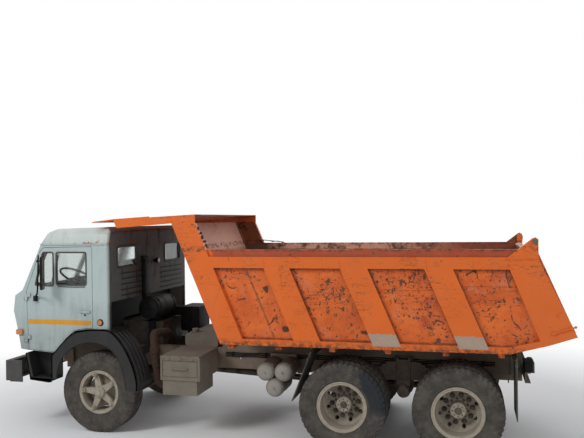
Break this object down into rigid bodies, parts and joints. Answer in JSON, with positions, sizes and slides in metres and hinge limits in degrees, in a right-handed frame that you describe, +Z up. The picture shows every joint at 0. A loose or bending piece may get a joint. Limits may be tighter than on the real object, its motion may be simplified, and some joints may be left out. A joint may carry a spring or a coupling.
{
  "type": "three-axle dump truck",
  "caption": "Cab-over dump truck with a ribbed leaning tipping bed, cab guard, twin rear wheels and opening doors.",
  "frame": {"origin": "on the ground under the middle of the overall length and width", "axes": "+X towards the tail (the truck faces -X), +Y to its right side, +Z up"},
  "size_m": [7.056, 2.98, 2.793],
  "materials": {
    "cab_paint": "weathered pale blue-grey paint with rust at the seams",
    "bed_paint": "chipped orange paint with scratches and rust",
    "chassis_paint": "dusty dark chassis paint",
    "dusty_steel": "grey-brown paint under road dust",
    "mudguard": "dusty dark grey moulding",
    "bumper_paint": "dark grey paint",
    "tyre": "dusty black rubber",
    "wheel_paint": "dirty grey wheel paint",
    "cast_iron": "oily, dusty castings",
    "spring_steel": "rusty leaf steel",
    "tank_paint": "faded grey paint",
    "rusty_pipe": "rusted steel",
    "black_steel": "black paint",
    "flap_rubber": "dusty rubber",
    "glass": "dusty clear glass",
    "interior_plastic": "dark grained moulding",
    "seat_cloth": "worn dark cloth",
    "lamp_glass": "red and orange lamp lenses",
    "rod_steel": "ground steel tubes"
  },
  "bodies": {
    "frame": {"cab_front": "cab_paint", "cab_sides": "cab_paint", "cab_rear_wall": "cab_paint", "cab_roof": "cab_paint", "cab_floor": "black_steel", "cab_glass": "glass", "dashboard": "interior_plastic", "seats": "seat_cloth", "front_mudguards": "mudguard", "front_bumper": "bumper_paint", "chassis_frame": "chassis_paint", "tipping_subframe": "dusty_steel", "engine_and_gearbox": "cast_iron", "rear_axles_and_shafts": "cast_iron", "front_axle": "cast_iron", "front_springs": "spring_steel", "rear_springs": "spring_steel", "battery_box": "dusty_steel", "fuel_tank": "dusty_steel", "air_reservoirs": "tank_paint", "exhaust_pipe": "rusty_pipe", "air_cleaner": "black_steel", "mudflaps": "flap_rubber", "rear_lamps": "lamp_glass"},
    "door_left": {"door_left": "cab_paint", "door_glass_left": "glass", "mirror_left": "black_steel"},
    "door_right": {"door_right": "cab_paint", "door_glass_right": "glass", "mirror_right": "black_steel"},
    "steering_wheel": {"steering_wheel": "interior_plastic"},
    "tie_rod": {"tie_rod": "cast_iron"},
    "bed": {"bed_shell": "bed_paint", "bed_frames": "bed_paint", "bed_canopy": "bed_paint"},
    "tailgate": {"tailgate": "bed_paint"},
    "hoist_barrels": {"hoist_barrels": "black_steel"},
    "hoist_stage_1": {"hoist_stage_1": "rod_steel"},
    "hoist_stage_2": {"hoist_stage_2": "rod_steel"},
    "hoist_rams": {"hoist_rams": "rod_steel"},
    "knuckle_left": {"knuckle_left": "cast_iron"},
    "front_wheel_left": {"front_wheel_left": "wheel_paint", "front_tyre_left": "tyre"},
    "rear_wheels_1_left": {"rear_wheels_1_left": "wheel_paint", "rear_tyres_1_left": "tyre"},
    "rear_wheels_2_left": {"rear_wheels_2_left": "wheel_paint", "rear_tyres_2_left": "tyre"},
    "knuckle_right": {"knuckle_right": "cast_iron"},
    "front_wheel_right": {"front_wheel_right": "wheel_paint", "front_tyre_right": "tyre"},
    "rear_wheels_1_right": {"rear_wheels_1_right": "wheel_paint", "rear_tyres_1_right": "tyre"},
    "rear_wheels_2_right": {"rear_wheels_2_right": "wheel_paint", "rear_tyres_2_right": "tyre"}
  },
  "joints": [
    {"name": "steering", "type": "hinge", "parent": "frame", "child": "steering_wheel", "pos_m": [-2.798, -0.65, 1.96], "axis": [0.4695, 0, 0.8829], "range_deg": [-654, 654]},
    {"name": "tie_rod_slide", "type": "slide", "parent": "frame", "child": "tie_rod", "axis": [0, 1, 0], "range_m": [-0.17, 0.17]},
    {"name": "bed_tip", "type": "hinge", "parent": "frame", "child": "bed", "pos_m": [2.942, 0, 1.13], "axis": [0, 1, 0], "range_deg": [0, 50]},
    {"name": "tailgate_swing", "type": "hinge", "parent": "bed", "child": "tailgate", "pos_m": [3.107, 0, 2.449], "axis": [0, -1, 0], "range_deg": [0, 70]},
    {"name": "hoist_tilt", "type": "hinge", "parent": "frame", "child": "hoist_barrels", "pos_m": [0.617, 0, 0.74], "axis": [0, 1, 0], "range_deg": [-1, 12.2]},
    {"name": "hoist_slide_1", "type": "slide", "parent": "hoist_barrels", "child": "hoist_stage_1", "axis": [0.2257, 0, 0.9742], "range_m": [0, 0.6356]},
    {"name": "hoist_slide_2", "type": "slide", "parent": "hoist_stage_1", "child": "hoist_stage_2", "axis": [0.2257, 0, 0.9742], "range_m": [0, 0.6356]},
    {"name": "hoist_slide_3", "type": "slide", "parent": "hoist_stage_2", "child": "hoist_rams", "axis": [0.2257, 0, 0.9742], "range_m": [0, 0.6356]},
    {"name": "door_left_hinge", "type": "hinge", "parent": "frame", "child": "door_left", "pos_m": [-3.216, -1.214, 1.45], "axis": [0, 0, -1], "range_deg": [0, 70]},
    {"name": "kingpin_left", "type": "hinge", "parent": "frame", "child": "knuckle_left", "pos_m": [-2.238, -0.86, 0.518], "axis": [0, 0, 1], "range_deg": [-36, 36]},
    {"name": "front_roll_left", "type": "hinge", "parent": "knuckle_left", "child": "front_wheel_left", "pos_m": [-2.238, -1.005, 0.518], "axis": [0, 1, 0], "continuous": true},
    {"name": "rear_roll_1_left", "type": "hinge", "parent": "frame", "child": "rear_wheels_1_left", "pos_m": [0.952, -0.925, 0.518], "axis": [0, 1, 0], "continuous": true},
    {"name": "rear_roll_2_left", "type": "hinge", "parent": "frame", "child": "rear_wheels_2_left", "pos_m": [2.272, -0.925, 0.518], "axis": [0, 1, 0], "continuous": true},
    {"name": "door_right_hinge", "type": "hinge", "parent": "frame", "child": "door_right", "pos_m": [-3.216, 1.214, 1.45], "axis": [0, 0, 1], "range_deg": [0, 70]},
    {"name": "kingpin_right", "type": "hinge", "parent": "frame", "child": "knuckle_right", "pos_m": [-2.238, 0.86, 0.518], "axis": [0, 0, 1], "range_deg": [-36.5, 36.5]},
    {"name": "front_roll_right", "type": "hinge", "parent": "knuckle_right", "child": "front_wheel_right", "pos_m": [-2.238, 1.005, 0.518], "axis": [0, 1, 0], "continuous": true},
    {"name": "rear_roll_1_right", "type": "hinge", "parent": "frame", "child": "rear_wheels_1_right", "pos_m": [0.952, 0.925, 0.518], "axis": [0, 1, 0], "continuous": true},
    {"name": "rear_roll_2_right", "type": "hinge", "parent": "frame", "child": "rear_wheels_2_right", "pos_m": [2.272, 0.925, 0.518], "axis": [0, 1, 0], "continuous": true}
  ],
  "couplings": [
    {"joint": "tie_rod_slide", "follows": "kingpin_left", "m_per_rad": 0.24125},
    {"joint": "kingpin_right", "follows": "kingpin_left", "ratio": 1},
    {"joint": "steering", "follows": "kingpin_left", "ratio": 18},
    {"joint": "hoist_tilt", "follows": "bed_tip", "ratio": 0.20404},
    {"joint": "hoist_slide_1", "follows": "bed_tip", "m_per_rad": 0.71689},
    {"joint": "hoist_slide_2", "follows": "bed_tip", "m_per_rad": 0.71689},
    {"joint": "hoist_slide_3", "follows": "bed_tip", "m_per_rad": 0.71689}
  ]
}
